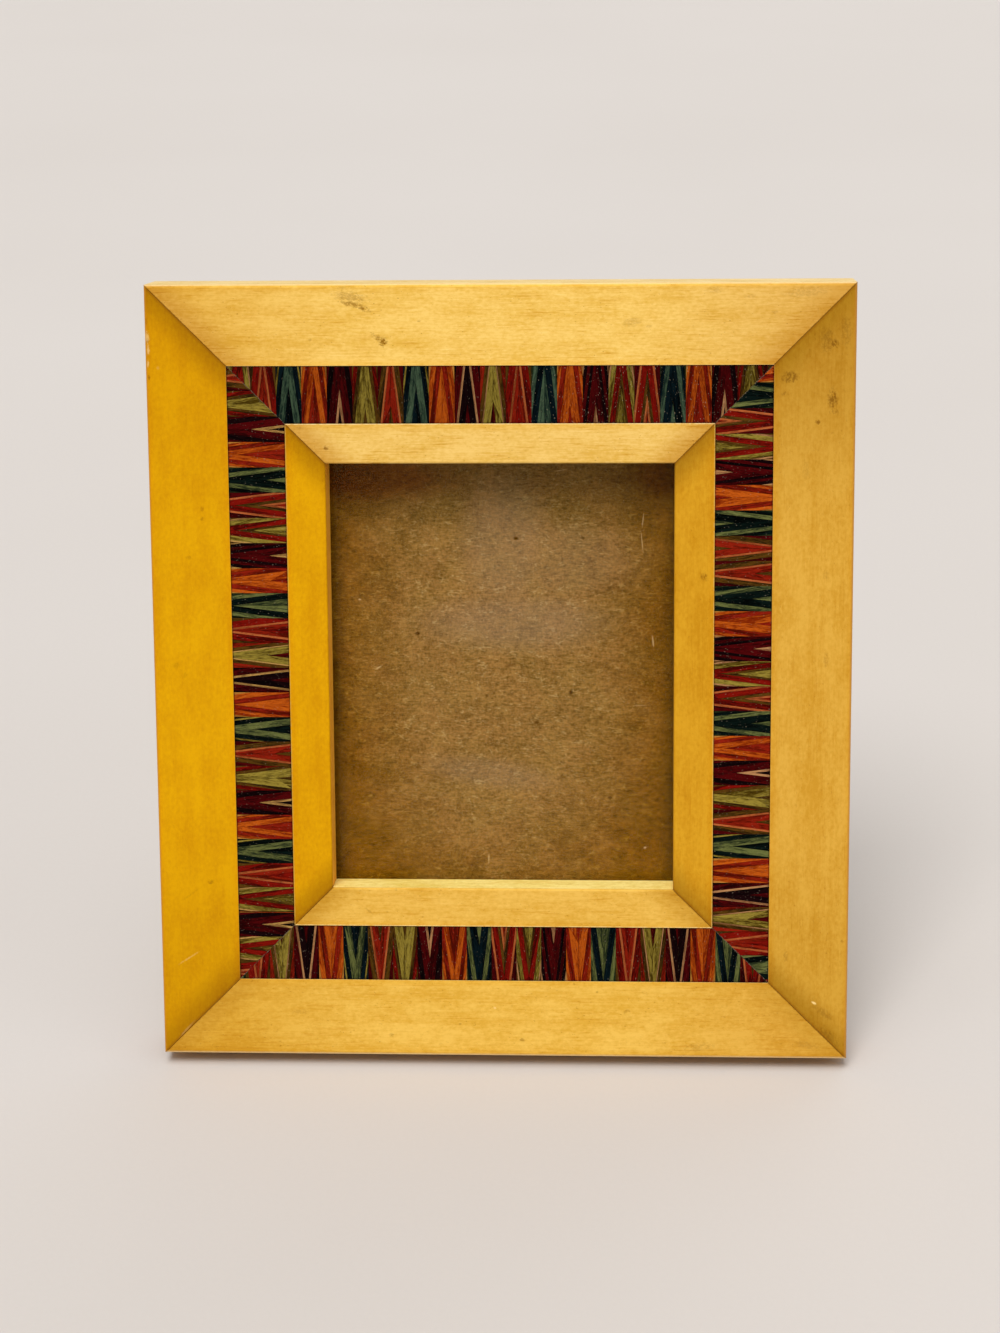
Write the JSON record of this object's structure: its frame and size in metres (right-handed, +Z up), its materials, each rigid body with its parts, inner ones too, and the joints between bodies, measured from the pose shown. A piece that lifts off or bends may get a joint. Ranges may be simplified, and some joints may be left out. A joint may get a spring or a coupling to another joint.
{
  "type": "picture frame",
  "caption": "Small easel-back wooden picture frame with mitred moulding, a zigzag band of dyed veneer inlay, glass, turn-buttons, a hinged strut and a saw-tooth hanger.",
  "frame": {"origin": "on the surface that the frame stands on, under the middle of the whole in width and depth", "axes": "+X to the right as seen from the front, +Y from the face to the back, +Z up; the frame leans back 12 degrees on its open strut"},
  "size_m": [0.1908, 0.0736, 0.2136],
  "materials": {
    "moulding": "satin lacquer",
    "veneer_orange": "dyed veneer, satin",
    "veneer_scarlet": "dyed veneer, satin",
    "veneer_crimson": "dyed veneer, satin",
    "veneer_maroon": "dyed veneer, satin",
    "veneer_black": "dyed veneer, satin",
    "veneer_sage": "dyed veneer, satin",
    "veneer_olive": "dyed veneer, satin",
    "veneer_umber": "dyed veneer, satin",
    "veneer_tan": "dyed veneer, satin",
    "glass": "clear",
    "filler_board": "bare fibrous board",
    "hardboard": "smooth hardboard",
    "steel": "zinc plated",
    "brass": "brass plated"
  },
  "bodies": {
    "frame": {"top_rail": "moulding", "right_stile": "moulding", "bottom_rail": "moulding", "left_stile": "moulding", "corner_wedges": "steel", "top_inlay_orange": "veneer_orange", "top_inlay_scarlet": "veneer_scarlet", "top_inlay_crimson": "veneer_crimson", "top_inlay_maroon": "veneer_maroon", "top_inlay_black": "veneer_black", "top_inlay_sage": "veneer_sage", "top_inlay_olive": "veneer_olive", "top_inlay_umber": "veneer_umber", "top_inlay_tan": "veneer_tan", "right_inlay_orange": "veneer_orange", "right_inlay_scarlet": "veneer_scarlet", "right_inlay_crimson": "veneer_crimson", "right_inlay_maroon": "veneer_maroon", "right_inlay_black": "veneer_black", "right_inlay_sage": "veneer_sage", "right_inlay_olive": "veneer_olive", "right_inlay_umber": "veneer_umber", "right_inlay_tan": "veneer_tan", "bottom_inlay_orange": "veneer_orange", "bottom_inlay_scarlet": "veneer_scarlet", "bottom_inlay_crimson": "veneer_crimson", "bottom_inlay_maroon": "veneer_maroon", "bottom_inlay_black": "veneer_black", "bottom_inlay_sage": "veneer_sage", "bottom_inlay_olive": "veneer_olive", "bottom_inlay_umber": "veneer_umber", "bottom_inlay_tan": "veneer_tan", "left_inlay_orange": "veneer_orange", "left_inlay_scarlet": "veneer_scarlet", "left_inlay_crimson": "veneer_crimson", "left_inlay_maroon": "veneer_maroon", "left_inlay_black": "veneer_black", "left_inlay_sage": "veneer_sage", "left_inlay_olive": "veneer_olive", "left_inlay_umber": "veneer_umber", "left_inlay_tan": "veneer_tan", "glass": "glass", "filler_board": "filler_board", "back_board": "hardboard", "turn_button_screws": "brass", "hinge_leaf_back": "steel", "hinge_pin": "steel", "back_rivets": "steel", "hanger": "steel", "hanger_nails": "steel"},
    "easel": {"strut": "hardboard", "hinge_leaf_strut": "steel", "strut_rivets": "steel"},
    "upper_left_button": {"upper_left_turn_button": "brass"},
    "upper_right_button": {"upper_right_turn_button": "brass"},
    "lower_left_button": {"lower_left_turn_button": "brass"},
    "lower_right_button": {"lower_right_turn_button": "brass"}
  },
  "joints": [
    {"name": "strut_fold", "type": "hinge", "parent": "frame", "child": "easel", "pos_m": [0, 0.01504, 0.14624], "axis": [1, 0, 0], "range_deg": [-20, 0]},
    {"name": "upper_left_button_turn", "type": "hinge", "parent": "frame", "child": "upper_left_button", "pos_m": [-0.05695, 0.01351, 0.1458], "axis": [0, 0.9781, -0.2079], "continuous": true},
    {"name": "upper_right_button_turn", "type": "hinge", "parent": "frame", "child": "upper_right_button", "pos_m": [0.05695, 0.01351, 0.1458], "axis": [0, 0.9781, -0.2079], "continuous": true},
    {"name": "lower_left_button_turn", "type": "hinge", "parent": "frame", "child": "lower_left_button", "pos_m": [-0.05695, -0.00395, 0.06364], "axis": [0, 0.9781, -0.2079], "continuous": true},
    {"name": "lower_right_button_turn", "type": "hinge", "parent": "frame", "child": "lower_right_button", "pos_m": [0.05695, -0.00395, 0.06364], "axis": [0, 0.9781, -0.2079], "continuous": true}
  ]
}
